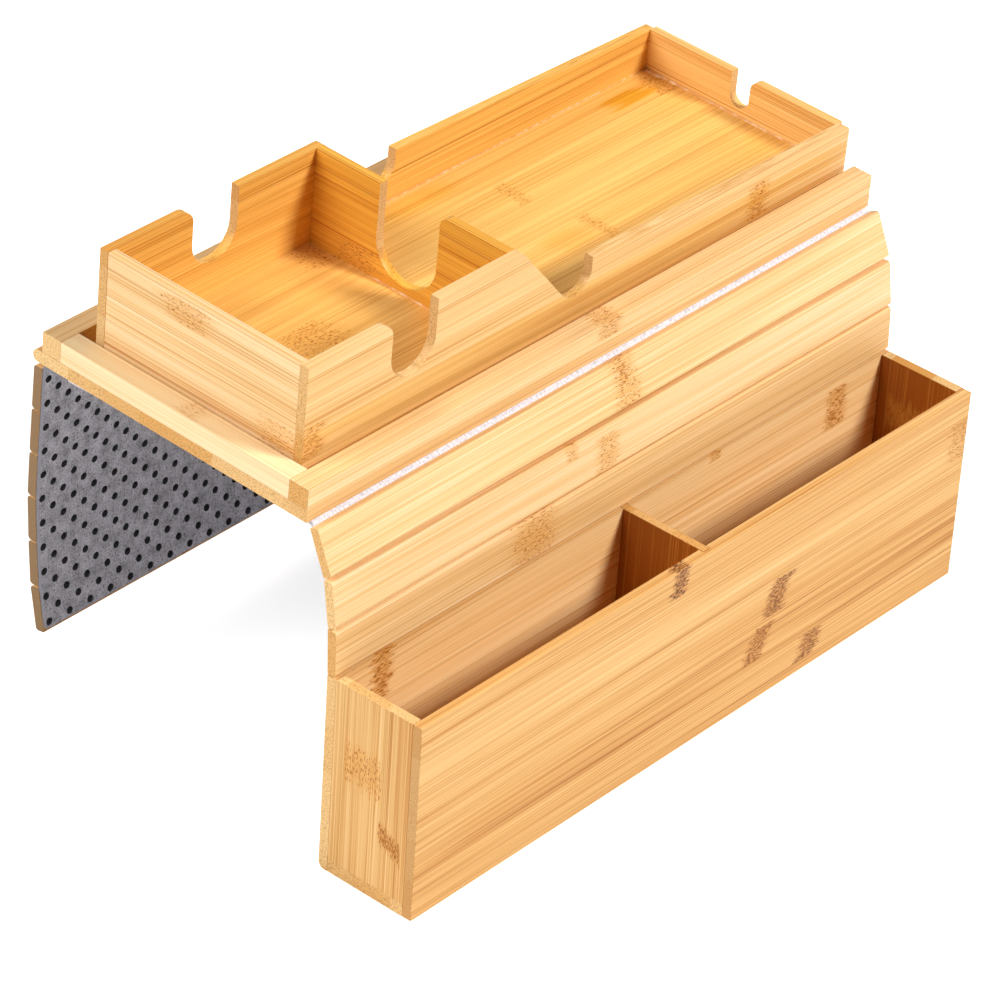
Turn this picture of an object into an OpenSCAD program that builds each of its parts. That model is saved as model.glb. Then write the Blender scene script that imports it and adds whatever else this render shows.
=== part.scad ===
// Sofa arm tray: a framed base on a felt mat, two slatted flaps, a loose caddy and a side box.
// Millimetres, +Z up, +Y along the sofa arm, +X towards the side box.
// The origin lies on the felt that rests on the arm, under the middle of the framed base.

/* [Base] */
// length along the arm, shared by the base, every slat and the side box
arm_len = 360; // [320:5:400]
// width of the rail frame across the arm
frame_w = 150; // [140:1:170]
// thickness of the bottom board
board_t = 6; // [4:0.5:9]
// how far the bottom board runs out past the left rail
board_lip = 5; // [3:0.5:9]
// width of each rail
rail_w = 10.5; // [8:0.5:14]
// height of the rails above the bottom board
rail_h = 10; // [7:0.5:14]

/* [Felt mat] */
// thickness of the felt sheet
felt_t = 2; // [1.5:0.25:3]
// how far the felt stops short of the slat ends
felt_inset = 1; // [0.5:0.5:4]
// how far inside the bottom board's left edge the felt turns down
felt_turn_in = 7.4; // [6.8:0.2:9]

/* [Slats] */
// distance from one bend line to the next
slat_pitch = 22; // [18:0.5:26]
// thickness of a slat
slat_t = 4.5; // [3.5:0.25:6]
// gap between two slats while the mat lies flat
slat_gap = 0.5; // [0.4:0.1:1.5]
// radius of a slat's outer edges
slat_edge_r = 1.4; // [0.5:0.1:1.7]
// bend of each left slat against the piece before it, in degrees
left_bends = [89, 0, 0.5, 4.5, 1.5, 6.5];
// bend of each right slat, then of the side box, in degrees
right_bends = [65, 14.5, 6, 2.5];

/* [Caddy] */
// play between the caddy and the left rail
play_left = 8.3; // [1:0.1:10]
// play between the caddy and the right rail
play_right = 4.6; // [1:0.1:10]
// play between the caddy and the front rail
play_front = 1.5; // [0.5:0.1:6]
// how far the caddy stops short of the open back of the base
play_back = 0.5; // [0:0.5:6]
// thickness of the caddy's walls
wall_t = 4.5; // [3.5:0.5:6]
// height of the walls round the cup compartment
cup_h = 54.5; // [50:0.5:70]
// length of the cup compartment inside
cup_len = 118; // [100:1:125]
// height of the tray's walls at the back
tray_h = 28.5; // [22:0.5:34]
// how much higher the tray's walls are behind the phone slot
tray_rise = 4.6; // [0:0.2:6]
// radius of the tray's back corners
tray_corner_r = 3; // [1:0.5:6]
// thickness of the caddy's floor
floor_t = 5; // [3:0.5:6]
// height of the floor's underside above the foot of the walls
floor_lift = 3.2; // [0:0.2:5]
// gap that keeps the caddy's foot off the bottom board
foot_gap = 0.3; // [0.3:0.1:0.6]

/* [Cut-outs] */
// width of the slot for a mug handle, one in each long wall
handle_slot_w = 26.6; // [20:0.2:34]
// height of that slot's lowest point above the foot
handle_slot_sill = 23.6; // [16:0.2:30]
// distance of its middle from the caddy's front
handle_slot_y = 63; // [50:1:75]
// radius of its rounded front corner
handle_corner_r = 6.5; // [2:0.5:8]
// slope of the wall down into the phone slot, in degrees
phone_slope = 49; // [40:1:65]
// radius of the phone slot
phone_slot_r = 9.9; // [7:0.1:12]
// height of the phone slot's lowest point above the foot
phone_slot_sill = 17.4; // [14:0.2:20]
// level top between the divider and the slope
slope_land = 0.6; // [0:0.2:4]
// radius of the corner between that top and the slope
slope_corner_r = 4; // [1:0.5:8]
// width of the opening in the divider
pass_w = 33.8; // [24:0.2:50]
// height of that opening's lowest point above the foot
pass_sill = 11.7; // [9:0.1:20]
// radius of the opening's rounded right corner
pass_corner_r = 4; // [1:0.5:6]
// width of the cable slot in the back wall
cable_slot_w = 10.8; // [7:0.2:14]
// height of that slot's lowest point above the foot
cable_slot_sill = 12.4; // [10:0.2:16]
// radius of its rounded right corner
cable_corner_r = 4; // [1:0.5:5]

/* [Side box] */
// height of the box
box_h = 97; // [80:1:120]
// depth of the box, outside
box_depth = 51.5; // [40:0.5:70]
// thickness of the box's front, back and end boards
box_board_t = 4.8; // [4:0.2:6]
// thickness of the box's bottom
box_bottom_t = 6; // [4:0.5:8]
// thickness of the divider between the two compartments
box_divider_t = 4.5; // [3.5:0.5:6]
// depth of the grooves that hold the divider
groove_depth = 2.5; // [1.5:0.1:3]
// radius of the box's lower back edge
box_foot_r = 3; // [1:0.5:4]

/* [View] */
// node to draw

/* [Hidden] */
$fn = 64;
// overshoot of a cutter past the face that it opens
past = 1;
base_z = felt_t;
floor_z = base_z + board_t;
frame_top_z = floor_z + rail_h;
recess_w = frame_w - 2 * rail_w;
felt_len = arm_len - 2 * felt_inset;
// bend lines of the felt, measured from the middle of the frame
bend_clear = 0.2;
left_turn_x = frame_w / 2 + board_lip - felt_turn_in;
right_turn_x = frame_w / 2 + bend_clear;
slat_w = slat_pitch - slat_gap;
caddy_w = recess_w - play_left - play_right;
caddy_len = arm_len - rail_w - play_front - play_back;
caddy_x = (play_left - play_right) / 2;
caddy_y = -arm_len / 2 + rail_w + play_front;
caddy_z = floor_z + foot_gap;
inner_w = caddy_w - 2 * wall_t;
floor_top = floor_lift + floor_t;
divider_y = wall_t + cup_len;
slope_y = divider_y + wall_t + slope_land;
phone_z = phone_slot_sill + phone_slot_r;
phone_y = slope_y + (phone_slot_r + (cup_h - phone_z) * cos(phone_slope)) / sin(phone_slope);
phone_far_y = phone_y + phone_slot_r;
slope_corner_run = slope_corner_r * tan(phone_slope / 2);
box_inner = box_depth - 2 * box_board_t;

// how far below the level piece i of the mat points: its bend and all bends before it
function fall(bends, i) = i < 1 ? 0 : bends[i - 1] + fall(bends, i - 1);

// bend line that piece i hangs from, as [distance from the middle, height]
function bend_line(turn_x, bends, i) =
    i == 1 ? [turn_x, 0]
    : bend_line(turn_x, bends, i - 1)
        + slat_pitch * [cos(fall(bends, i - 1)), -sin(fall(bends, i - 1))];

// what a corner loses when it is rounded: the corner lies at the origin, the solid towards +X and +Y
module corner_waste(r)
    difference() {
        translate([-past, -past]) square(r + past);
        translate([r, r]) circle(r);
    }

// a slot with a round bottom, open at the top, its lowest point at the origin
module round_slot(w, top) {
    translate([0, w / 2]) circle(d = w);
    translate([-w / 2, w / 2]) square([w, top]);
}

// turns a side outline, drawn as length and height, into an upright board from x on
module along_arm(x, t)
    translate([x, 0, 0]) rotate([90, 0, 90]) linear_extrude(t) children();

// turns an outline, drawn as width and height, into a board that starts at y
module across_arm(y, t)
    translate([0, y + t, 0]) rotate([90, 0, 0]) linear_extrude(t) children();

module block(x, y, z)
    translate([x[0], y[0], z[0]]) cube([x[1] - x[0], y[1] - y[0], z[1] - z[0]]);

// base: bottom board with one round edge, three rails round a recess that is open at the back

module base_board()
    color("burlywood")
        across_arm(-arm_len / 2, arm_len)
            translate([-frame_w / 2 - board_lip, base_z]) {
                translate([board_t / 2, board_t / 2]) circle(d = board_t);
                translate([board_t / 2, 0]) square([frame_w + board_lip - board_t / 2, board_t]);
            }

module side_rail(x)
    color("wheat")
        block([x, x + rail_w], [-arm_len / 2, arm_len / 2], [floor_z, frame_top_z]);

module left_rail() side_rail(-frame_w / 2);

module right_rail() side_rail(frame_w / 2 - rail_w);

module front_rail()
    color("navajowhite")
        block([-recess_w / 2, recess_w / 2], [-arm_len / 2, -arm_len / 2 + rail_w], [floor_z, frame_top_z]);

module base_felt()
    color("slategray")
        block([-left_turn_x + bend_clear, right_turn_x - bend_clear], [-felt_len / 2, felt_len / 2], [0, felt_t]);

// caddy: two long walls of one outline, with the front wall, divider, back wall and floor between them

// outline of a long wall, as distance from the caddy's front and height above its foot
module long_wall_outline()
    difference() {
        polygon([
            [0, 0],
            [caddy_len, 0],
            [caddy_len, tray_h],
            [caddy_len - tray_corner_r, tray_h],
            [phone_far_y, tray_h + tray_rise],
            [phone_far_y, phone_z],
            [phone_y - phone_slot_r * sin(phone_slope), phone_z - phone_slot_r * cos(phone_slope)],
            [slope_y, cup_h],
            [0, cup_h]
        ]);
        translate([phone_y, phone_z]) circle(phone_slot_r);
        translate([handle_slot_y, handle_slot_sill]) round_slot(handle_slot_w, cup_h);
        translate([handle_slot_y - handle_slot_w / 2, cup_h]) rotate(180) corner_waste(handle_corner_r);
        translate([caddy_len, tray_h]) rotate(180) corner_waste(tray_corner_r);
        slope_corner_waste();
    }

// what the blunt corner above the slope loses when it is rounded
module slope_corner_waste()
    difference() {
        polygon([
            [slope_y - slope_corner_run, cup_h],
            [slope_y - slope_corner_run, cup_h + past],
            [slope_y + slope_corner_run, cup_h + past],
            [slope_y + slope_corner_run * cos(phone_slope), cup_h - slope_corner_run * sin(phone_slope)]
        ]);
        translate([slope_y - slope_corner_run, cup_h - slope_corner_r]) circle(slope_corner_r);
    }

module in_caddy() translate([caddy_x, caddy_y, caddy_z]) children();

module caddy_long_wall(x)
    color("tan") in_caddy() along_arm(x, wall_t) long_wall_outline();

module caddy_left_wall() caddy_long_wall(-caddy_w / 2);

module caddy_right_wall() caddy_long_wall(caddy_w / 2 - wall_t);

// a wall that fits between the long walls, cut by whatever children draw
module cross_wall(y, z, h)
    in_caddy() across_arm(y, wall_t) difference() {
        translate([-inner_w / 2, z]) square([inner_w, h - z]);
        children();
    }

// a slot from the top of a cross wall, square at its left corner and rounded at its right one
module cross_slot(w, sill, h, corner_r) {
    translate([0, sill]) round_slot(w, h);
    translate([w / 2, h]) rotate(-90) corner_waste(corner_r);
}

module caddy_front_wall()
    color("peru") cross_wall(0, 0, cup_h);

module caddy_divider()
    color("peru") cross_wall(divider_y, floor_top, cup_h)
        cross_slot(pass_w, pass_sill, cup_h, pass_corner_r);

module caddy_back_wall()
    color("peru") cross_wall(caddy_len - wall_t, 0, tray_h)
        cross_slot(cable_slot_w, cable_slot_sill, tray_h, cable_corner_r);

module caddy_floor()
    color("sandybrown") in_caddy()
        block([-inner_w / 2, inner_w / 2], [wall_t, caddy_len - wall_t], [floor_lift, floor_top]);

// flaps: pieces of the mat, each hanging from its bend line
// inside the frame of a piece, +X runs down the mat and +Z out of its slatted face

module left_piece(i)
    mirror([1, 0, 0]) mat_piece(left_turn_x, left_bends, i) children();

module right_piece(i)
    mat_piece(right_turn_x, right_bends, i) children();

module mat_piece(turn_x, bends, i) {
    line = bend_line(turn_x, bends, i);
    translate([line[0], 0, line[1]]) rotate([0, fall(bends, i), 0]) children();
}

module slat()
    color("wheat") across_arm(-arm_len / 2, arm_len) difference() {
        translate([slat_gap / 2, felt_t]) square([slat_w, slat_t]);
        translate([slat_gap / 2, felt_t + slat_t]) rotate(-90) corner_waste(slat_edge_r);
        translate([slat_gap / 2 + slat_w, felt_t + slat_t]) rotate(180) corner_waste(slat_edge_r);
    }

module felt_strip(length)
    color("slategray")
        block([bend_clear, length - bend_clear], [-felt_len / 2, felt_len / 2], [0, felt_t]);

module left_slat(i) left_piece(i) slat();

module right_slat(i) right_piece(i) slat();

module left_felt(i) left_piece(i) felt_strip(slat_pitch);

module right_felt(i) right_piece(i) felt_strip(slat_pitch);

// side box: hangs from the last bend line of the right flap, its back board on the felt
// inside its frame, +X runs down the box and +Z out of its front

module in_box()
    right_piece(len(right_bends)) translate([slat_gap / 2, 0, felt_t]) children();

// grooves for the divider, in the faces that the back and front boards turn to each other
module grooves()
    block([-past, box_h - box_bottom_t], [-box_divider_t / 2, box_divider_t / 2],
        [box_board_t - groove_depth, box_depth - box_board_t + groove_depth]);

module box_back()
    color("burlywood") in_box() difference() {
        across_arm(-arm_len / 2, arm_len) difference() {
            square([box_h, box_board_t]);
            translate([box_h, 0]) rotate(90) corner_waste(box_foot_r);
        }
        grooves();
    }

module box_front()
    color("burlywood") in_box() difference() {
        block([0, box_h], [-arm_len / 2, arm_len / 2], [box_depth - box_board_t, box_depth]);
        grooves();
    }

module box_end(y)
    color("tan") in_box()
        block([0, box_h - box_bottom_t], [y, y + box_board_t], [box_board_t, box_depth - box_board_t]);

module box_near_end() box_end(-arm_len / 2);

module box_far_end() box_end(arm_len / 2 - box_board_t);

module box_bottom()
    color("sandybrown") in_box()
        block([box_h - box_bottom_t, box_h], [-arm_len / 2, arm_len / 2], [box_board_t, box_depth - box_board_t]);

module box_divider()
    color("peru") in_box() intersection() {
        grooves();
        block([0, box_h], [-arm_len / 2, arm_len / 2], [0, box_depth]);
    }

module box_felt()
    right_piece(len(right_bends)) felt_strip(box_h - box_foot_r);

base_board();
left_rail();
right_rail();
front_rail();
base_felt();
caddy_left_wall();
caddy_right_wall();
caddy_front_wall();
caddy_back_wall();
caddy_divider();
caddy_floor();
left_slat(1);  // left_slat_1
left_slat(2);  // left_slat_2
left_slat(3);  // left_slat_3
left_slat(4);  // left_slat_4
left_slat(5);  // left_slat_5
left_slat(6);  // left_slat_6
left_felt(1);  // left_felt_1
left_felt(2);  // left_felt_2
left_felt(3);  // left_felt_3
left_felt(4);  // left_felt_4
left_felt(5);  // left_felt_5
left_felt(6);  // left_felt_6
right_slat(1);  // right_slat_1
right_slat(2);  // right_slat_2
right_slat(3);  // right_slat_3
right_felt(1);  // right_felt_1
right_felt(2);  // right_felt_2
right_felt(3);  // right_felt_3
box_back();
box_front();
box_near_end();
box_far_end();
box_bottom();
box_divider();
box_felt();
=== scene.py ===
# Sofa arm tray: bamboo boards, a felt mat with grip dots, beads of glue in the caddy.
# Everything is in metres in the CAD frame: +Z up, +Y along the sofa arm, +X towards the side box.
import math
import random

import bmesh
import bpy
from mathutils import Matrix, Vector, noise


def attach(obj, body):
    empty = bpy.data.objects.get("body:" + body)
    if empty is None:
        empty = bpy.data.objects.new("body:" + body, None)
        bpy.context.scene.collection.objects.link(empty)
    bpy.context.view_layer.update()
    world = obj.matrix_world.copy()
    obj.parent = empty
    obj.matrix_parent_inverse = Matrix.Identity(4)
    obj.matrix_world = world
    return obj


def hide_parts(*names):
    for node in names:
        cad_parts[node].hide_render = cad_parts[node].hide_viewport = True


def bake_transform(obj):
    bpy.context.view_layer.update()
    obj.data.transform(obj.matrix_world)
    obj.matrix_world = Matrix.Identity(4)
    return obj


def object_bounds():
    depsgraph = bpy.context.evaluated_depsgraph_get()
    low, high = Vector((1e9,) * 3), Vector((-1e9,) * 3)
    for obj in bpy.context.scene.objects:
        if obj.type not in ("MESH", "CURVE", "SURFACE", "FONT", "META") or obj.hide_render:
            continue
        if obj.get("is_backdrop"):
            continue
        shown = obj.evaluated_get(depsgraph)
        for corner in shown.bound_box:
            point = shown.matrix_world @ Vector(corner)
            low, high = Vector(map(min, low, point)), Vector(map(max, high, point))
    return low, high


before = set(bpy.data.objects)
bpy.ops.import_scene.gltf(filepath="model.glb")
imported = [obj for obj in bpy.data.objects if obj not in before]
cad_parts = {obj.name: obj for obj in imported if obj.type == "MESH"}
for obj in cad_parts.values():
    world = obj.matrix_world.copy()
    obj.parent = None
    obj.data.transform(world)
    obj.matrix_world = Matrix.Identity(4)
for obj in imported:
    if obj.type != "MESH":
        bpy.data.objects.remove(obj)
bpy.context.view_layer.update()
mm = 0.001
alongArm, acrossArm, upward = Vector((0, 1, 0)), Vector((1, 0, 0)), Vector((0, 0, 1))

camera = {
    "place": (1.1855, -1.4629, 1.2116),
    "forward": (-0.5078, 0.6422, -0.5742),
    "right": (0.7442, 0.6627, 0.0831),
    "lens": 189.27,
}

lamps = {
    # name: direction from the object, watts, width of the lamp in metres
    "rightLamp": {"from": (0.665, 0.27, 0.65), "power": 250, "size": 1.15},
    "leftLamp": {"from": (-0.36, -0.77, 0.66), "power": 234, "size": 3.6},
}
lampDistance = 4.8
lampTarget = Vector((0.03, 0, -0.03))
ambientLight = 0.03

floor = {"height": -0.16075, "size": 8.0, "colour": "#F4F4F4", "lift": 0.62}


def hexColour(code):
    parts = [int(code[i:i + 2], 16) / 255 for i in (1, 3, 5)]
    return [p / 12.92 if p <= 0.04045 else ((p + 0.055) / 1.055) ** 2.4 for p in parts] + [1.0]


def addNode(tree, kind, settings, sockets):
    # settings are the node's own properties, sockets its inputs: a number, a colour, a node or an output
    node = tree.nodes.new("ShaderNode" + kind)
    for name, value in settings.items():
        if name == "ramp":
            elements = node.color_ramp.elements
            while len(elements) < len(value):
                elements.new(0.5)
            for element, (position, code) in zip(elements, value):
                element.position, element.color = position, hexColour(code)
        else:
            setattr(node, name, value)
    for key, value in sockets.items():
        if isinstance(value, bpy.types.Node):
            value = value.outputs[0]
        if isinstance(value, bpy.types.NodeSocket):
            tree.links.new(value, node.inputs[key])
        else:
            node.inputs[key].default_value = value
    return node


def newMaterial(name):
    material = bpy.data.materials.new(name)
    material.use_nodes = True
    material.node_tree.nodes.clear()
    return material, material.node_tree


def newGroup(name, inputs, outputs):
    tree = bpy.data.node_groups.new(name, "ShaderNodeTree")
    for label, kind in inputs:
        tree.interface.new_socket(name=label, in_out="INPUT", socket_type="NodeSocket" + kind)
    for label, kind in outputs:
        tree.interface.new_socket(name=label, in_out="OUTPUT", socket_type="NodeSocket" + kind)
    return tree, tree.nodes.new("NodeGroupInput").outputs, tree.nodes.new("NodeGroupOutput").inputs


def meshObject(name, bm, materials, smooth=True):
    mesh = bpy.data.meshes.new(name)
    bm.to_mesh(mesh)
    bm.free()
    for polygon in mesh.polygons:
        polygon.use_smooth = smooth
    for material in materials:
        mesh.materials.append(material)
    made = bpy.data.objects.new(name, mesh)
    bpy.context.scene.collection.objects.link(made)
    return made


print("stage: camera and lamps")
forward = Vector(camera["forward"]).normalized()
right = Vector(camera["right"])
right = (right - forward * right.dot(forward)).normalized()
lookOut = bpy.data.cameras.new("photoCamera")
lookOut.lens, lookOut.sensor_width = camera["lens"], 36
cameraObject = bpy.data.objects.new("photoCamera", lookOut)
cameraObject.matrix_world = Matrix.Translation(camera["place"]) @ Matrix(
    (right, right.cross(forward), -forward)).transposed().to_4x4()
bpy.context.scene.collection.objects.link(cameraObject)
bpy.context.scene.camera = cameraObject
bpy.context.scene.view_settings.view_transform = "Standard"

for lampName, lamp in lamps.items():
    light = bpy.data.lights.new(lampName, "AREA")
    light.energy, light.size = lamp["power"], lamp["size"]
    lampObject = bpy.data.objects.new(lampName, light)
    direction = Vector(lamp["from"]).normalized()
    lampObject.location = lampTarget + direction * lampDistance
    lampObject.rotation_euler = direction.to_track_quat("Z", "Y").to_euler()
    bpy.context.scene.collection.objects.link(lampObject)

world = bpy.data.worlds.new("studioWorld")
bpy.context.scene.world = world
world.use_nodes = True
world.node_tree.nodes.clear()
path = addNode(world.node_tree, "LightPath", {}, {})
seen = addNode(world.node_tree, "Math", {"operation": "MAXIMUM"},
               {0: path.outputs["Is Camera Ray"], 1: path.outputs["Is Glossy Ray"]})
seen = addNode(world.node_tree, "Math", {"operation": "MAXIMUM"},
               {0: seen, 1: path.outputs["Is Transmission Ray"]})
strength = addNode(world.node_tree, "MapRange", {},
                   {"Value": seen, "To Min": ambientLight, "To Max": 1.0})
sky = addNode(world.node_tree, "Background", {}, {"Color": (1, 1, 1, 1), "Strength": strength})
addNode(world.node_tree, "OutputWorld", {}, {"Surface": sky})

# studio paper: matt white, brighter to the camera, and more so away from the object, so that it reads
# as the white ground up to its far edge
paper, tree = newMaterial("studioPaper")
path = addNode(tree, "LightPath", {}, {})
spot = addNode(tree, "TexCoord", {}, {})
away = addNode(tree, "VectorMath", {"operation": "LENGTH"}, {0: spot.outputs["Object"]})
away = addNode(tree, "MapRange", {}, {"Value": away.outputs["Value"], "From Min": 0.6, "From Max": 2.5,
                                      "To Min": floor["lift"], "To Max": 1.0})
lift = addNode(tree, "Math", {"operation": "MULTIPLY"}, {0: path.outputs["Is Camera Ray"], 1: away})
matt = addNode(tree, "BsdfDiffuse", {}, {"Color": hexColour(floor["colour"])})
glow = addNode(tree, "Emission", {}, {"Color": (1, 1, 1, 1), "Strength": lift})
both = addNode(tree, "AddShader", {}, {0: matt, 1: glow})
addNode(tree, "OutputMaterial", {}, {"Surface": both})
bm = bmesh.new()
bmesh.ops.create_grid(bm, x_segments=1, y_segments=1, size=floor["size"] / 2,
                      matrix=Matrix.Translation((0, 0, floor["height"])))
meshObject("studioFloor", bm, [paper], smooth=False)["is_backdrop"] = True

# Bamboo boards, glued up from split strips, sanded and clear lacquered: pale honey strips of
# slightly different tone, fine fibres along the grain, brown dashes where a stem had its joints.
bamboo = {
    # length and width in mm of a streak, and how far it moves the tone
    "streaks": ((260, 6.0, 0.07), (200, 1.1, 0.10), (110, 0.40, 0.17)),
    "tones": ((0.0, "#A0602A"), (0.10, "#C88E4B"), (0.33, "#DDAC6A"), (0.5, "#E8BC7F"), (0.67, "#F3CA92"),
              (1.0, "#FAE0B6")),
    "stripTone": 0.20,
    "line": (260, 0.42, 0.52),
    "lineColour": "#C0782C",
    "seamColour": "#B9853F",
    "haloColours": ("#DC9C48", "#AC6A34"),
    "fleck": (2.2, 0.5),
    "fleckColours": ("#A86018", "#56280C"),
    "endTones": ("#D69C52", "#EDC68A"),
    "endBrown": "#935E22",
    "poreColour": "#8E5A26",
    "honeyAndShadeColour": "#FCE589",
    "stainColour": "#F1DD7C",
    "edge": 0.4,
}


knotGroup, given, result = newGroup("bambooKnot", [
    ("Place", "Vector"), ("Along", "Float"), ("Across", "Float"), ("HalfAlong", "Float"),
    ("HalfAcross", "Float"), ("Slant", "Float"), ("Strength", "Float"), ("Dark", "Float")],
    [("Halo", "Float"), ("Dark", "Float")])
apart = addNode(knotGroup, "SeparateXYZ", {}, {0: given["Place"]})
sideways = addNode(knotGroup, "Math", {"operation": "SUBTRACT"}, {0: apart.outputs[1], 1: given["Across"]})
leaned = addNode(knotGroup, "Math", {"operation": "MULTIPLY_ADD"},
                 {0: sideways, 1: given["Slant"], 2: given["Along"]})
lengthways = addNode(knotGroup, "Math", {"operation": "SUBTRACT"}, {0: apart.outputs[0], 1: leaned})
# each fibre starts and ends its knot at a slightly different place
ragged = addNode(knotGroup, "VectorMath", {"operation": "MULTIPLY"},
                 {0: given["Place"], 1: (1 / 60, 1 / 1.5, 1 / 1.5)})
ragged = addNode(knotGroup, "TexNoise", {}, {"Vector": ragged, "Scale": 1.0, "Detail": 1.0})
ragged = addNode(knotGroup, "MapRange", {}, {"Value": ragged, "From Min": 0.25, "From Max": 0.75,
                                            "To Min": -0.5, "To Max": 0.5})
lengthways = addNode(knotGroup, "Math", {"operation": "DIVIDE"}, {0: lengthways, 1: given["HalfAlong"]})
lengthways = addNode(knotGroup, "Math", {"operation": "ADD"}, {0: lengthways, 1: ragged})
lengthways = addNode(knotGroup, "Math", {"operation": "ABSOLUTE"}, {0: lengthways})
inLength = addNode(knotGroup, "MapRange", {"interpolation_type": "SMOOTHSTEP"},
                   {"Value": lengthways, "From Min": 1.5, "From Max": 0.5})
sideways = addNode(knotGroup, "Math", {"operation": "DIVIDE"}, {0: sideways, 1: given["HalfAcross"]})
sideways = addNode(knotGroup, "Math", {"operation": "ABSOLUTE"}, {0: sideways})
inWidth = addNode(knotGroup, "MapRange", {"interpolation_type": "SMOOTHSTEP"},
                  {"Value": sideways, "From Min": 1.04, "From Max": 0.86})
halo = addNode(knotGroup, "Math", {"operation": "MULTIPLY"}, {0: inLength, 1: inWidth})
halo = addNode(knotGroup, "Math", {"operation": "MULTIPLY"}, {0: halo, 1: given["Strength"]})
dark = addNode(knotGroup, "Math", {"operation": "MULTIPLY"}, {0: halo, 1: given["Dark"]})
knotGroup.links.new(halo.outputs[0], result["Halo"])
knotGroup.links.new(dark.outputs[0], result["Dark"])

boardGroup, given, result = newGroup("laminatedBamboo", [
    ("Place", "Vector"), ("Facing", "Vector"), ("Halo", "Float"), ("Dark", "Float"), ("Seed", "Float"),
    ("StripWidth", "Float"), ("StripShift", "Float"), ("HoneyAndShade", "Float"), ("Tone", "Float"),
    ("Lines", "Float"), ("EndBrownAndShade", "Float"), ("EndColour", "Color")],
    [("Color", "Color"), ("Roughness", "Float"), ("Height", "Float")])
apart = addNode(boardGroup, "SeparateXYZ", {}, {0: given["Place"]})
facing = addNode(boardGroup, "VectorMath", {"operation": "ABSOLUTE"}, {0: given["Facing"]})
facing = addNode(boardGroup, "SeparateXYZ", {}, {0: facing})
strips = addNode(boardGroup, "Math", {"operation": "ADD"}, {0: apart.outputs[1], 1: given["StripShift"]})
strips = addNode(boardGroup, "Math", {"operation": "DIVIDE"}, {0: strips, 1: given["StripWidth"]})
stripIndex = addNode(boardGroup, "Math", {"operation": "FLOOR"}, {0: strips})
stripKey = addNode(boardGroup, "CombineXYZ", {}, {"X": stripIndex, "Y": given["Seed"], "Z": 3.7})
stripDice = addNode(boardGroup, "TexWhiteNoise", {}, {"Vector": stripKey})
stripMove = addNode(boardGroup, "VectorMath", {"operation": "SCALE"},
                    {0: stripDice.outputs["Color"], "Scale": 40.0})
tone = addNode(boardGroup, "MapRange", {}, {"Value": stripDice.outputs["Value"],
                                          "To Min": 0.5 - bamboo["stripTone"] / 2,
                                          "To Max": 0.5 + bamboo["stripTone"] / 2})
tone = addNode(boardGroup, "Math", {"operation": "ADD"}, {0: tone, 1: given["Tone"]})
fibres = []
for length, width, share in bamboo["streaks"]:
    # a pattern's marks get their length and width in mm by shrinking the place it reads
    streak = addNode(boardGroup, "VectorMath", {"operation": "MULTIPLY_ADD"},
                     {0: given["Place"], 1: (1 / length, 1 / width, 1 / width), 2: stripMove})
    streak = addNode(boardGroup, "TexNoise", {}, {
        "Vector": streak, "Scale": 1.0, "Detail": 1.0, "Roughness": 0.5})
    fibres.append(streak)
    spread = addNode(boardGroup, "MapRange", {"clamp": False},
                     {"Value": streak, "From Min": 0.3, "From Max": 0.7, "To Min": -share, "To Max": share})
    tone = addNode(boardGroup, "Math", {"operation": "ADD"}, {0: tone, 1: spread})
colour = addNode(boardGroup, "ValToRGB", {"ramp": bamboo["tones"]}, {"Fac": tone})
# honey: boards that the lacquer has turned more golden; turned up on the caddy divider, box divider and box far end,
# with a low Tone, it is also painted shade on boards that stand in shade
honey = addNode(boardGroup, "MixRGB", {"blend_type": "MULTIPLY"},
                {"Fac": given["HoneyAndShade"], "Color1": colour, "Color2": hexColour(bamboo["honeyAndShadeColour"])})
# thin darker fibres, close together in some bands and rare in others
lineLength, lineWidth, lineShare = bamboo["line"]
lines = addNode(boardGroup, "VectorMath", {"operation": "MULTIPLY_ADD"},
                {0: given["Place"], 1: (1 / lineLength, 1 / lineWidth, 1 / lineWidth), 2: stripMove})
lines = addNode(boardGroup, "TexNoise", {}, {"Vector": lines, "Scale": 1.0, "Detail": 0.0})
lines = addNode(boardGroup, "MapRange", {"interpolation_type": "SMOOTHSTEP"},
                {"Value": lines, "From Min": 0.44, "From Max": 0.33, "To Max": lineShare})
bands = addNode(boardGroup, "MapRange", {"interpolation_type": "SMOOTHSTEP"},
                {"Value": fibres[0], "From Min": 0.40, "From Max": 0.58, "To Min": 1.0, "To Max": 0.15})
lines = addNode(boardGroup, "Math", {"operation": "MULTIPLY"}, {0: lines, 1: bands})
lines = addNode(boardGroup, "Math", {"operation": "MULTIPLY"}, {0: lines, 1: given["Lines"]})
colour = addNode(boardGroup, "MixRGB", {}, {"Fac": lines, "Color1": honey,
                                          "Color2": hexColour(bamboo["lineColour"])})
# glue line between two strips
fromSeam = addNode(boardGroup, "Math", {"operation": "PINGPONG"}, {0: strips, 1: 0.5})
seam = addNode(boardGroup, "MapRange", {"interpolation_type": "SMOOTHSTEP"},
               {"Value": fromSeam, "From Min": 0.022, "From Max": 0.008, "To Max": 0.35})
colour = addNode(boardGroup, "MixRGB", {}, {"Fac": seam, "Color1": colour,
                                          "Color2": hexColour(bamboo["seamColour"])})
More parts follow.
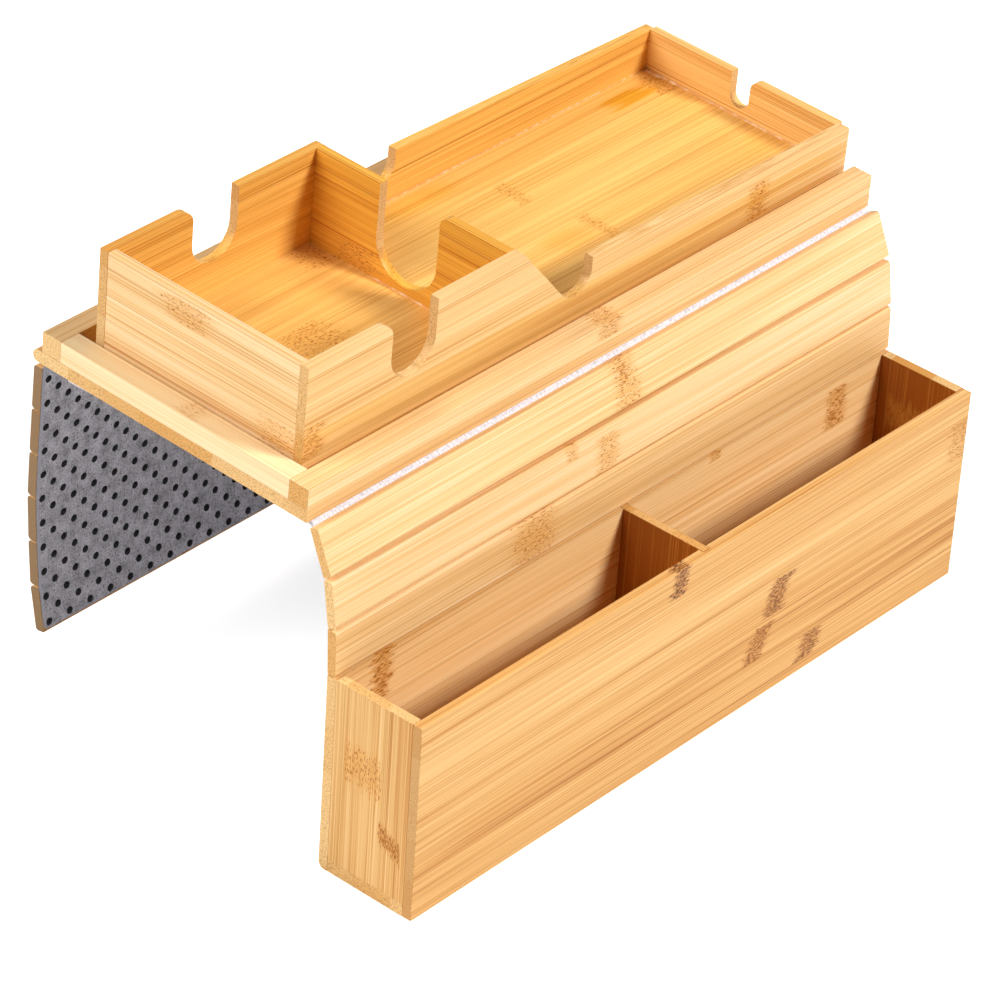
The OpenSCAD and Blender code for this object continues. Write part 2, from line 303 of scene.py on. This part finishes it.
# a knot: the wood goes browner, with short dark flecks, 2.2 mm long and 0.5 mm wide, which is
# a little coarser than real bundles so that they show
fleckLength, fleckWidth = bamboo["fleck"]
darkKnot = addNode(boardGroup, "Math", {"operation": "DIVIDE"}, {0: given["Dark"], 1: given["Halo"]})
haloColour, fleckColour = [
    addNode(boardGroup, "MixRGB", {}, {"Fac": darkKnot, "Color1": hexColour(bamboo[pair][0]),
                                       "Color2": hexColour(bamboo[pair][1])})
    for pair in ("haloColours", "fleckColours")]
flecks = addNode(boardGroup, "VectorMath", {"operation": "MULTIPLY"},
                 {0: given["Place"], 1: (1 / fleckLength, 1 / fleckWidth, 1 / fleckWidth)})
flecks = addNode(boardGroup, "TexNoise", {}, {"Vector": flecks, "Scale": 1.0, "Detail": 1.0})
haloShare = addNode(boardGroup, "MapRange", {}, {"Value": darkKnot, "To Min": 0.80, "To Max": 0.55})
halo = addNode(boardGroup, "Math", {"operation": "MULTIPLY"}, {0: given["Halo"], 1: haloShare})
colour = addNode(boardGroup, "MixRGB", {}, {"Fac": halo, "Color1": colour, "Color2": haloColour})
# where the knot is stronger, more of the noise becomes flecks
fleckEdge = addNode(boardGroup, "MapRange", {}, {"Value": given["Halo"], "To Min": 0.70, "To Max": 0.46})
flecks = addNode(boardGroup, "Math", {"operation": "SUBTRACT"}, {0: flecks, 1: fleckEdge})
flecks = addNode(boardGroup, "MapRange", {"interpolation_type": "SMOOTHSTEP"},
                 {"Value": flecks, "From Min": -0.04, "From Max": 0.07, "To Max": 0.88})
inKnot = addNode(boardGroup, "MapRange", {}, {"Value": given["Halo"], "From Min": 0.05, "From Max": 0.3})
flecks = addNode(boardGroup, "Math", {"operation": "MULTIPLY"}, {0: flecks, 1: inKnot})
colour = addNode(boardGroup, "MixRGB", {}, {"Fac": flecks, "Color1": colour, "Color2": fleckColour})
# sawn ends: one tone per strip, with the cut bundles as fine dots of 0.5 mm
endPlace = addNode(boardGroup, "VectorMath", {"operation": "MULTIPLY_ADD"},
                   {0: given["Place"], 1: (1 / 1000, 1 / 0.55, 1 / 0.55), 2: stripMove})
endKey = addNode(boardGroup, "SeparateXYZ", {}, {0: stripDice.outputs["Color"]})
endTone = addNode(boardGroup, "MixRGB", {}, {
    "Fac": endKey.outputs[2], "Color1": hexColour(bamboo["endTones"][0]), "Color2": hexColour(bamboo["endTones"][1])})
pores = addNode(boardGroup, "TexNoise", {}, {"Vector": endPlace, "Scale": 1.0, "Detail": 0.0})
pores = addNode(boardGroup, "MapRange", {"interpolation_type": "SMOOTHSTEP"},
                {"Value": pores, "From Min": 0.46, "From Max": 0.70, "To Max": 0.45})
ends = addNode(boardGroup, "MixRGB", {}, {"Fac": pores, "Color1": endTone,
                                        "Color2": hexColour(bamboo["poreColour"])})
# sawn ends mixed toward EndColour: a browner end grain on some boards, and painted shade on the left slats' ends
ends = addNode(boardGroup, "MixRGB", {}, {"Fac": given["EndBrownAndShade"], "Color1": ends,
                                        "Color2": given["EndColour"]})
atEnd = addNode(boardGroup, "MapRange", {"interpolation_type": "SMOOTHSTEP"},
                {"Value": facing.outputs[0], "From Min": 0.75, "From Max": 0.95})
colour = addNode(boardGroup, "MixRGB", {}, {"Fac": atEnd, "Color1": colour, "Color2": ends})
boardGroup.links.new(colour.outputs[0], result["Color"])
rough = addNode(boardGroup, "MapRange", {"clamp": False},
                {"Value": fibres[2], "From Min": 0.3, "From Max": 0.7, "To Min": 0.40, "To Max": 0.52})
rough = addNode(boardGroup, "MapRange", {}, {"Value": atEnd, "To Min": rough, "To Max": 0.7})
boardGroup.links.new(rough.outputs[0], result["Roughness"])
height = addNode(boardGroup, "Math", {"operation": "MULTIPLY_ADD"}, {0: flecks, 1: -1.5, 2: fibres[2]})
height = addNode(boardGroup, "Math", {"operation": "MULTIPLY_ADD"}, {0: seam, 1: -1.0, 2: height})
boardGroup.links.new(height.outputs[0], result["Height"])


# brown and endColour set how far the sawn ends go toward a browner colour: end grain on most boards, painted shade on
# the left slats
def bambooMaterial(name, seed, origin, grain, across, knots, width=20.5, shift=0.0, honey=0.0, tone=0.0,
                   lines=1.0, stains=(), brown=0.0, endColour=bamboo["endBrown"]):
    # origin, grain and across place the board's own millimetres: along the grain, across it, and deep
    material, tree = newMaterial(name)
    turn = Matrix((grain, across, grain.cross(across))).transposed().to_euler()
    spot = addNode(tree, "TexCoord", {}, {})
    place = addNode(tree, "Mapping", {"vector_type": "TEXTURE"}, {
        "Vector": spot.outputs["Object"], "Location": origin, "Rotation": turn, "Scale": (mm, mm, mm)})
    side = addNode(tree, "Mapping", {"vector_type": "TEXTURE"}, {
        "Vector": spot.outputs["Normal"], "Rotation": turn})
    halo, dark = 0.0001, 0.0
    for low, high, near, far, strength, slant, darkness in knots:
        knot = addNode(tree, "Group", {"node_tree": knotGroup}, {
            "Place": place, "Along": (low + high) / 2, "Across": (near + far) / 2,
            "HalfAlong": (high - low) / 2, "HalfAcross": (far - near) / 2,
            "Slant": slant, "Strength": strength, "Dark": darkness})
        halo = addNode(tree, "Math", {"operation": "MAXIMUM"}, {0: halo, 1: knot.outputs["Halo"]})
        dark = addNode(tree, "Math", {"operation": "MAXIMUM"}, {0: dark, 1: knot.outputs["Dark"]})
    board = addNode(tree, "Group", {"node_tree": boardGroup}, {
        "Place": place, "Facing": side, "Halo": halo, "Dark": dark, "Seed": seed,
        "StripWidth": width, "StripShift": shift, "HoneyAndShade": honey, "Tone": tone,
        "Lines": lines, "EndBrownAndShade": brown, "EndColour": hexColour(endColour)})
    colour = board.outputs["Color"]
    for low, high, near, far, strength in stains:
        spill = addNode(tree, "Group", {"node_tree": knotGroup}, {
            "Place": place, "Along": (low + high) / 2, "Across": (near + far) / 2,
            "HalfAlong": (high - low) / 2, "HalfAcross": (far - near) / 2, "Slant": 0.3, "Strength": strength})
        colour = addNode(tree, "MixRGB", {"blend_type": "MULTIPLY"}, {
            "Fac": spill.outputs["Halo"], "Color1": colour, "Color2": hexColour(bamboo["stainColour"])})
    bump = addNode(tree, "Bump", {}, {"Height": board.outputs["Height"], "Strength": 0.5,
                                      "Distance": 0.00004})
    lacquer = addNode(tree, "BsdfPrincipled", {}, {
        "Base Color": colour, "Roughness": board.outputs["Roughness"], "Normal": bump,
        "Specular IOR Level": 0.22, "Coat Weight": 0.03, "Coat Roughness": 0.3})
    addNode(tree, "OutputMaterial", {}, {"Surface": lacquer})
    return material


# the mat as a line seen from its end: where it bends, and how far it turns there
mat = {
    "leftTurn": -72.6,
    "rightTurn": 75.2,
    "pitch": 22.0,
    "leftBends": (89, 0, 0.5, 4.5, 1.5, 6.5),
    "rightBends": (65, 14.5, 6, 2.5),
    "slatGap": 0.5,
}


def matLines():
    # bend lines from the left end to the right one: (distance along the mat, x, z, slope before, slope after)
    lines = []
    for side, start, bends in ((-1, mat["leftTurn"], mat["leftBends"]), (1, mat["rightTurn"], mat["rightBends"])):
        x, z, slope = start, 0.0, 0.0
        distance = 0.0 if side < 0 else mat["rightTurn"] - mat["leftTurn"]
        for bend in bends:
            after = slope + math.radians(bend)
            row = (distance, x, z, slope, after) if side > 0 else (distance, x, z, -after, -slope)
            lines.append(row)
            slope = after
            x += side * mat["pitch"] * math.cos(slope)
            z -= mat["pitch"] * math.sin(slope)
            distance += side * mat["pitch"]
    return sorted(lines)


bendLines = matLines()


def flapFrame(index, side):
    # bend line of a flap's piece, and the way down the flap from it
    distance, x, z, before, after = bendLines[6 - index] if side < 0 else bendLines[5 + index]
    slope = before if side < 0 else after
    down = Vector((math.cos(slope), 0, -math.sin(slope))) * side
    return Vector((x, 0, z)) * mm, down


level = Vector((0, 0, 0))
boxLine, boxDown = flapFrame(4, 1)
boxTop = boxLine + boxDown * mat["slatGap"] / 2 * mm
boxOut = Vector((-boxDown.z, 0, boxDown.x))

# knots: from and to along the grain, from and to across it, strength, slant, darkness
boards = {
    "base_board": (level, alongArm, acrossArm, [], {"shift": 80}),
    "left_rail": (level, alongArm, upward, [], {"width": 30}),
    "right_rail": (level, alongArm, upward, [(-3, 10, 10, 19, 0.55, 0, 0.2)],
                   {"width": 30, "tone": 0.0, "lines": 0.8}),
    # front rail: its Tone is raised so that its top, which the caddy shades, shows as bright as the other tops:
    # painted light
    "front_rail": (level, acrossArm, alongArm, [(0, 11, -180, -169, 0.3, 0, 0)],
                   {"width": 30, "shift": 195, "tone": 0.46, "honey": 0.15, "lines": 0.6}),
    "caddy_left_wall": (level, alongArm, upward, [(-142, -128, 8, 31, 0.5, 0, 0)],
                        {"width": 24, "shift": 17, "honey": 0.78, "tone": 0.0, "lines": 2.2, "brown": 0.12}),
    "caddy_right_wall": (level, alongArm, upward, [
        (-171, -157, 17, 34, 0.6, 0, 0), (111, 124, 14, 33, 0.6, 0.1, 0)],
        {"width": 24, "shift": 15, "tone": 0.05, "honey": 0.1, "brown": 0.08, "lines": 1.2,
         "stains": [(-185, 190, 8, 30, 0.45)]}),
    "caddy_front_wall": (level, acrossArm, upward, [
        (-19, 5, 49, 61, 0.5, 0, 0), (35, 59, 15, 30, 0.4, 0, 0)],
        {"width": 24, "shift": 17, "tone": 0.18, "lines": 1.5}),
    "caddy_back_wall": (level, acrossArm, upward, [(57, 61, 8, 32, 0.3, 0, 0)],
                        {"width": 24, "shift": 17, "honey": 0.5, "tone": 0.15, "lines": 2.0}),
    # caddy divider: its full honey and low Tone are partly its golden colour and partly painted shade on its face in
    # the shaded cup
    "caddy_divider": (level, acrossArm, upward, [(-35, -14, 15, 28, 0.55, 0, 0.2)],
                      {"width": 24, "shift": 17, "honey": 1.0, "tone": -0.10, "lines": 3.2, "brown": 0.1}),
    "caddy_floor": (level, alongArm, acrossArm, [
        (-114, -86, -10, 10, 0.55, 0, 0), (-60, -42, -51, -33, 0.5, 0, 0), (46, 53, -30, -10, 0.45, 0, 0),
        (55, 62, 10, 32, 0.5, 0, 0), (163, 176, -48, -30, 0.6, 0, 0)],
        {"width": 20.8, "shift": 73.2, "honey": 0.72, "tone": 0.10,
         "stains": [(137, 163, -45, -35, 1.0), (28, 52, 12, 27, 0.3), (-8, 34, -49, -38, 0.5)]}),
    "box_front": (boxTop, alongArm, boxDown, [
        (-24, -15, -1, 14, 0.95, -0.15, 1.0), (44, 57, 37, 56, 0.95, -0.35, 0.8), (33, 46, 58, 76, 0.9, -0.35, 0.6),
        (70, 83, 78, 92, 0.9, -0.3, 0.8), (168, 184, 12, 34, 0.5, 0, 0.4)],
        {"width": 20.5, "shift": 5, "tone": -0.20, "lines": 0.9, "brown": 0.6, "endColour": "#B98A55"}),
    "box_back": (boxTop, alongArm, boxDown, [
        (-158, -147, -2, 24, 0.85, 0, 0.1), (138, 151, 3, 25, 0.7, 0, 0.1), (56, 63, -1, 4, 0.6, 0, 0)],
        {"width": 24, "shift": 0, "tone": 0.16, "honey": 0.2, "lines": 1.2}),
    "box_bottom": (boxTop, alongArm, boxOut, [(-60, -48, 5, 26, 0.6, 0, 0)], {"width": 21, "shift": 0}),
    "box_near_end": (boxTop, boxDown, boxOut, [(27, 46, 13, 34, 0.58, 0.12, 0), (60, 70, 33, 46, 0.9, 0.6, 0.3)],
                     {"width": 22.5, "shift": 10.5, "tone": -0.20, "lines": 0.8}),
    # box far end and box divider: full honey and a very low Tone darken them to the deep brown of the shade inside
    # the box: painted shade
    "box_far_end": (boxTop, boxDown, boxOut, [(20, 34, 12, 34, 0.6, 0, 0)],
                    {"width": 22.5, "shift": 10.5, "honey": 1.0, "tone": -0.85, "lines": 2.0}),
    "box_divider": (boxTop, boxDown, boxOut, [(66, 78, 11, 33, 0.5, 0, 0)],
                    {"width": 22.5, "shift": 12, "honey": 1.0, "tone": -0.95, "lines": 2.4}),
}
slatKnots = {
    ("right", 1): [(-3, 12, -1, 23, 0.5, 0, 0.1), (1, 7, 2, 12, 0.8, 0, 0.1)],
    ("right", 2): [(-19, -6, 4, 21, 0.5, 0, 0), (-38, -31, -1, 8, 0.45, 0, 0)],
    ("right", 3): [(-72, -47, -1, 23, 0.5, 0, 0)],
}
slatTones = {("right", 1): 0.0, ("right", 2): 0.20, ("right", 3): 0.09}
random.seed(11)
for side, sign, count in (("left", -1, 6), ("right", 1, 3)):
    for index in range(1, count + 1):
        line, down = flapFrame(index, sign)
        knots = slatKnots.get((side, index))
        if knots is None:
            spot = random.uniform(-150, 150)
            knots = [(spot, spot + random.uniform(12, 20), -1, 23, random.uniform(0.4, 0.8), 0, 0)]
        # the left slats' sawn ends go 0.9 of the way to a grey brown: painted shade on ends that stand in shade
        boards[f"{side}_slat_{index}"] = (line, alongArm, down, knots, {
            "width": 30, "shift": 4, "tone": slatTones.get((side, index), random.uniform(-0.06, 0.06)),
            "lines": 0.7, "brown": 0.9 if side == "left" else 0.0, "endColour": "#80664A"})

print("stage: bamboo boards")
for seed, (nodeName, (origin, grain, across, knots, extras)) in enumerate(boards.items()):
    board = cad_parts[nodeName]
    material = bambooMaterial("bamboo_" + nodeName, seed + 1.0, origin, grain, across, knots, **extras)
    for slotIndex in range(len(board.material_slots)):
        board.material_slots[slotIndex].material = material
    weld = board.modifiers.new("weld", "WELD")
    weld.merge_threshold = 0.00001
    sanded = board.modifiers.new("sandedEdges", "BEVEL")
    sanded.width, sanded.segments = bamboo["edge"] * mm, 2
    sanded.limit_method, sanded.angle_limit = "ANGLE", math.radians(38)
    sanded.harden_normals = True

# Needled polyester felt, 2 mm: heathered grey on the arm side, pale lilac at the cut edges and
# behind the slats. It gives the eye a soft, dull ground for the black grip dots.
felt = {
    "thickness": 2.0,
    "turn": 1.0,
    "leftEnd": -129.6,
    "rightEnd": 307.8,
    "farEnd": 178.6,
    # where the near edge runs: distance along the mat, y
    "nearEnd": ((0, -179.5), (30, -177.5), (150, -177.3), (240, -176.5)),
    "cut": 8.8,
    "step": 1.6,
    "lengthStep": 4.0,
    "waver": 0.3,
    "tones": ((0.34, "#7F7B82"), (0.46, "#BDB9BF"), (0.56, "#DDD9DF"), (0.68, "#F2EFF3")),
    "speck": "#5A565D",
    "back": "#ECEAF0",
    "rim": "#827E86",
}

dots = {"radius": 1.8, "height": 0.42, "pitch": 12.15, "firstRow": -5.3, "firstColumn": -177.7}


def matPoint(distance, y, height):
    # from the flat mat (distance along it, y, height above its arm side, in mm) to its place, in metres
    turn = felt["turn"]
    near = min(bendLines, key=lambda line: abs(distance - line[0]))
    away, (start, x, z, before, after) = distance - near[0], near
    if abs(away) < turn and after - before > 0.003:
        radius = turn / math.tan((after - before) / 2)
        slope = before + (after - before) * (away + turn) / (2 * turn)
        x += -turn * math.cos(before) - radius * math.sin(before)
        z += turn * math.sin(before) - radius * math.cos(before)
        reach = radius + height
        return Vector((x + reach * math.sin(slope), y, z + reach * math.cos(slope))) * mm
    slope = before if away < 0 else after
    return Vector((x + away * math.cos(slope) + height * math.sin(slope), y,
                   z - away * math.sin(slope) + height * math.cos(slope))) * mm


def nearEdge(distance):
    marks = felt["nearEnd"]
    for (before, yBefore), (after, yAfter) in zip(marks, marks[1:]):
        if distance < after:
            share = max(0.0, (distance - before) / (after - before))
            return yBefore + (yAfter - yBefore) * share
    return marks[-1][1]


feltArm, tree = newMaterial("needledFeltArmSide")
spot = addNode(tree, "UVMap", {"uv_map": "matMillimetres"}, {})
clouds = addNode(tree, "TexNoise", {}, {"Vector": spot, "Scale": 0.16, "Detail": 4.0, "Roughness": 0.6})
fuzz = addNode(tree, "TexNoise", {}, {"Vector": spot, "Scale": 1.1, "Detail": 2.0, "Roughness": 0.7})
mixed = addNode(tree, "MixRGB", {}, {"Fac": 0.5, "Color1": clouds, "Color2": fuzz})
heather = addNode(tree, "ValToRGB", {"ramp": felt["tones"]}, {"Fac": mixed})
specks = addNode(tree, "TexNoise", {}, {"Vector": spot, "Scale": 0.9, "Detail": 1.0})
specks = addNode(tree, "MapRange", {"interpolation_type": "SMOOTHSTEP"},
                 {"Value": specks, "From Min": 0.60, "From Max": 0.70, "To Max": 0.75})
heather = addNode(tree, "MixRGB", {}, {"Fac": specks, "Color1": heather, "Color2": hexColour(felt["speck"])})
bump = addNode(tree, "Bump", {}, {"Height": fuzz, "Strength": 0.6, "Distance": 0.0006})
cloth = addNode(tree, "BsdfPrincipled", {}, {
    "Base Color": heather, "Roughness": 0.95, "Normal": bump, "Sheen Weight": 0.25, "Sheen Roughness": 0.6,
    "Specular IOR Level": 0.2})
addNode(tree, "OutputMaterial", {}, {"Surface": cloth})

feltBack, tree = newMaterial("needledFeltSlatSide")
spot = addNode(tree, "UVMap", {"uv_map": "matMillimetres"}, {})
fuzz = addNode(tree, "TexNoise", {}, {"Vector": spot, "Scale": 1.1, "Detail": 2.0, "Roughness": 0.7})
pale = addNode(tree, "ValToRGB", {"ramp": ((0.34, "#BFBBC5"), (0.62, felt["back"]))}, {"Fac": fuzz})
cloth = addNode(tree, "BsdfPrincipled", {}, {"Base Color": pale, "Roughness": 0.95, "Sheen Weight": 0.2})
addNode(tree, "OutputMaterial", {}, {"Surface": cloth})

feltRim, tree = newMaterial("needledFeltCutEdge")
spot = addNode(tree, "UVMap", {"uv_map": "matMillimetres"}, {})
fuzz = addNode(tree, "TexNoise", {}, {"Vector": spot, "Scale": 1.4, "Detail": 2.0, "Roughness": 0.7})
pale = addNode(tree, "ValToRGB", {"ramp": ((0.3, "#6C6870"), (0.65, felt["rim"]))}, {"Fac": fuzz})
cloth = addNode(tree, "BsdfPrincipled", {}, {"Base Color": pale, "Roughness": 0.95, "Sheen Weight": 0.2})
addNode(tree, "OutputMaterial", {}, {"Surface": cloth})

# PVC grip dots, screen printed on the felt: near black, slightly domed, with a dull shine
grip, tree = newMaterial("printedPvcDots")
spot = addNode(tree, "TexCoord", {}, {})
uneven = addNode(tree, "TexNoise", {}, {"Vector": spot.outputs["Object"], "Scale": 900.0, "Detail": 1.0})
shade = addNode(tree, "ValToRGB", {"ramp": ((0.3, "#060507"), (0.7, "#100F11"))}, {"Fac": uneven})
rubber = addNode(tree, "BsdfPrincipled", {}, {"Base Color": shade, "Roughness": 0.55, "Specular IOR Level": 0.25})
addNode(tree, "OutputMaterial", {}, {"Surface": rubber})

# cuts of the mat: each bend has a piece of its own
base, pitch, cut = mat["rightTurn"] - mat["leftTurn"], mat["pitch"], felt["cut"]
matPieces = [("felt_left_end", felt["leftEnd"], -5 * pitch - cut, ("left_slat_6",), ("left_felt_6",))]
for index in range(6, 0, -1):
    inner = f"left_slat_{index - 1}" if index > 1 else "base"
    covers = (f"left_felt_{index}", f"left_felt_{index - 1}" if index > 1 else "base_felt")
    top = -(index - 2) * pitch - cut if index > 1 else 12.0
    matPieces.append((f"felt_left_bend_{index}", -(index - 1) * pitch - cut, top, (inner, f"left_slat_{index}"),
                      covers))
matPieces.append(("felt_base", 12.0, base - 12.0, ("base",), ("base_felt",)))
for index in range(1, 4):
    inner = f"right_slat_{index - 1}" if index > 1 else "base"
    covers = (f"right_felt_{index - 1}" if index > 1 else "base_felt", f"right_felt_{index}")
    low = base + (index - 2) * pitch + cut if index > 1 else base - 12.0
    matPieces.append((f"felt_right_bend_{index}", low, base + (index - 1) * pitch + cut,
                      (inner, f"right_slat_{index}"), covers))
matPieces.append(("felt_box_bend", base + 2 * pitch + cut, base + 3 * pitch + cut, ("right_slat_3", "box"),
                  ("right_felt_3", "box_felt")))
matPieces.append(("felt_box", base + 3 * pitch + cut, felt["rightEnd"], ("box",), ("box_felt",)))


def bendEnds(low, high):
    # where the bend inside a piece of the mat starts and ends
    line = next(row for row in bendLines if low < row[0] < high)
    return line, [matPoint(line[0] + side * felt["turn"], 0, felt["thickness"] / 2) for side in (-1, 1)]


def carry(piece, bodies, low, high):
    if len(bodies) == 1:
        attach(piece, bodies[0])
        return
    line, (start, end) = bendEnds(low, high)
    if line[0] <= 0:
        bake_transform(piece)
    else:
        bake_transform(piece)


print("stage: felt mat")
for name, low, high, bodies, covers in matPieces:
    stops = [low + (high - low) * i / max(2, round((high - low) / felt["step"]))
             for i in range(max(2, round((high - low) / felt["step"])) + 1)]
    if len(bodies) == 2:
        line = bendEnds(low, high)[0]
        stops = [s for s in stops if abs(s - line[0]) > felt["turn"] * 1.3]
        stops = sorted(stops + [line[0] + felt["turn"] * k / 4 for k in range(-4, 5)])
    width = felt["farEnd"] - nearEdge((low + high) / 2)
    bm = bmesh.new()
    bmesh.ops.create_grid(bm, x_segments=len(stops) - 1, y_segments=round(width / felt["lengthStep"]), size=1.0)
    for vertex in bm.verts:
        distance = stops[round((vertex.co.x + 1) / 2 * (len(stops) - 1))]
        near = nearEdge(distance)
        y = near + (felt["farEnd"] - near) * (vertex.co.y + 1) / 2
        if abs(vertex.co.y) > 0.999:
            y += felt["waver"] * noise.noise((distance / 5, y, 0.5))
        if abs(distance - felt["leftEnd"]) < 0.01 or abs(distance - felt["rightEnd"]) < 0.01:
            distance += felt["waver"] * noise.noise((y / 7, distance, 0.5))
        vertex.co = (distance, y, felt["thickness"])
    # the arm side is the same grid, 2 mm lower, with a rim of cut felt between the two
    lower = bmesh.ops.extrude_face_region(bm, geom=bm.faces[:], use_keep_orig=True)["geom"]
    for vertex in lower:
        if isinstance(vertex, bmesh.types.BMVert):
            vertex.co.z = 0
    uvLayer = bm.loops.layers.uv.new("matMillimetres")
    for face in bm.faces:
        heights = {vertex.co.z for vertex in face.verts}
        face.material_index = 2 if len(heights) > 1 else (1 if 0 in heights else 0)
        if len(heights) > 1:
            for edge in face.edges:
                edge.smooth = False
        for loop in face.loops:
            loop[uvLayer].uv = (loop.vert.co.x + loop.vert.co.z, loop.vert.co.y + loop.vert.co.z)
    for vertex in bm.verts:
        vertex.co = matPoint(*vertex.co)
    bmesh.ops.recalc_face_normals(bm, faces=bm.faces)
    # the cut edge shows grey on the left flap, and as pale as the slat side on the right one
    piece = meshObject(name, bm, [feltBack, feltArm, feltRim if low < 0 else feltBack])
    carry(piece, bodies, low, high)
    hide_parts(*covers)

print("stage: grip dots")
bm = bmesh.new()
bmesh.ops.create_uvsphere(bm, u_segments=10, v_segments=4, radius=1.0, matrix=Matrix.Diagonal(
    (dots["radius"], dots["radius"], dots["height"], 1)))
oneDot = bpy.data.meshes.new("oneDot")
bm.to_mesh(oneDot)
bm.free()
for name, low, high, bodies, covers in matPieces:
    bm = bmesh.new()
    step = math.ceil((low - dots["firstRow"]) / (dots["pitch"] / 2))
    distance = dots["firstRow"] + step * dots["pitch"] / 2
    while distance < high - 1e-6:
        y = dots["firstColumn"] + (dots["pitch"] / 2 if step % 2 else 0.0)
        inside = felt["leftEnd"] + 1.8 < distance < felt["rightEnd"] - 2
        while inside and y < felt["farEnd"] - dots["radius"]:
            if y > nearEdge(distance) + 0.8 * dots["radius"]:
                place = Matrix.Translation((distance, y, 0))
                oneDot.transform(place)
                bm.from_mesh(oneDot)
                oneDot.transform(place.inverted())
            y += dots["pitch"]
        step += 1
        distance += dots["pitch"] / 2
    if bm.verts:
        for vertex in bm.verts:
            vertex.co = matPoint(*vertex.co)
        piece = meshObject(name.replace("felt", "dots"), bm, [grip])
        carry(piece, bodies, low, high)
bpy.data.meshes.remove(oneDot)

# beads of dried wood glue in the corners of the caddy: clear, whitish where they are thick
glue = {
    "radius": 0.8,
    "step": 1.5,
    "beads": {
        # name: from, to, thickness against the usual one
        "glue_back": ((-51.5, 175, 16.5), (55.2, 175, 16.5), 1.0),
        "glue_left": ((-51.7, -38, 16.5), (-51.7, 173, 16.5), 0.55),
        "glue_corner": ((-51.7, 173.6, 16.5), (-40, 174.6, 16.5), 1.4),
        "glue_divider": ((-17, -45.5, 16.5), (50, -45.5, 16.5), 0.8),
    },
}
dried, tree = newMaterial("driedWoodGlue")
spot = addNode(tree, "TexCoord", {}, {})
milky = addNode(tree, "TexNoise", {}, {"Vector": spot.outputs["Object"], "Scale": 260.0, "Detail": 1.0})
milky = addNode(tree, "ValToRGB", {"ramp": ((0.42, "#DDA05A"), (0.70, "#EBC9A4"))}, {"Fac": milky})
clear = addNode(tree, "BsdfPrincipled", {}, {"Base Color": milky, "Roughness": 0.35,
                                             "Specular IOR Level": 0.3})
addNode(tree, "OutputMaterial", {}, {"Surface": clear})

print("stage: glue beads")
for name, (start, end, share) in glue["beads"].items():
    start, end = Vector(start) * mm, Vector(end) * mm
    line = (end - start).normalized()
    side = line.cross(upward)
    bm = bmesh.new()
    bmesh.ops.create_grid(bm, x_segments=round((end - start).length / (glue["step"] * mm)), y_segments=8, size=1.0)
    for vertex in bm.verts:
        along = (vertex.co.x + 1) / 2
        angle = math.pi * vertex.co.y
        spot = start.lerp(end, along)
        lump = 1 + 0.5 * noise.noise(spot * 70) + 0.25 * noise.noise(spot * 400)
        taper = min(1.0, 12 * along, 12 * (1 - along)) ** 0.5
        reach = glue["radius"] * mm * share * lump * taper
        vertex.co = spot + side * reach * math.cos(angle) + upward * 0.6 * reach * math.sin(angle)
    bmesh.ops.remove_doubles(bm, verts=bm.verts, dist=1e-6)
    bmesh.ops.recalc_face_normals(bm, faces=bm.faces)
    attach(meshObject(name, bm, [dried]), "caddy")

low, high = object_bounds()
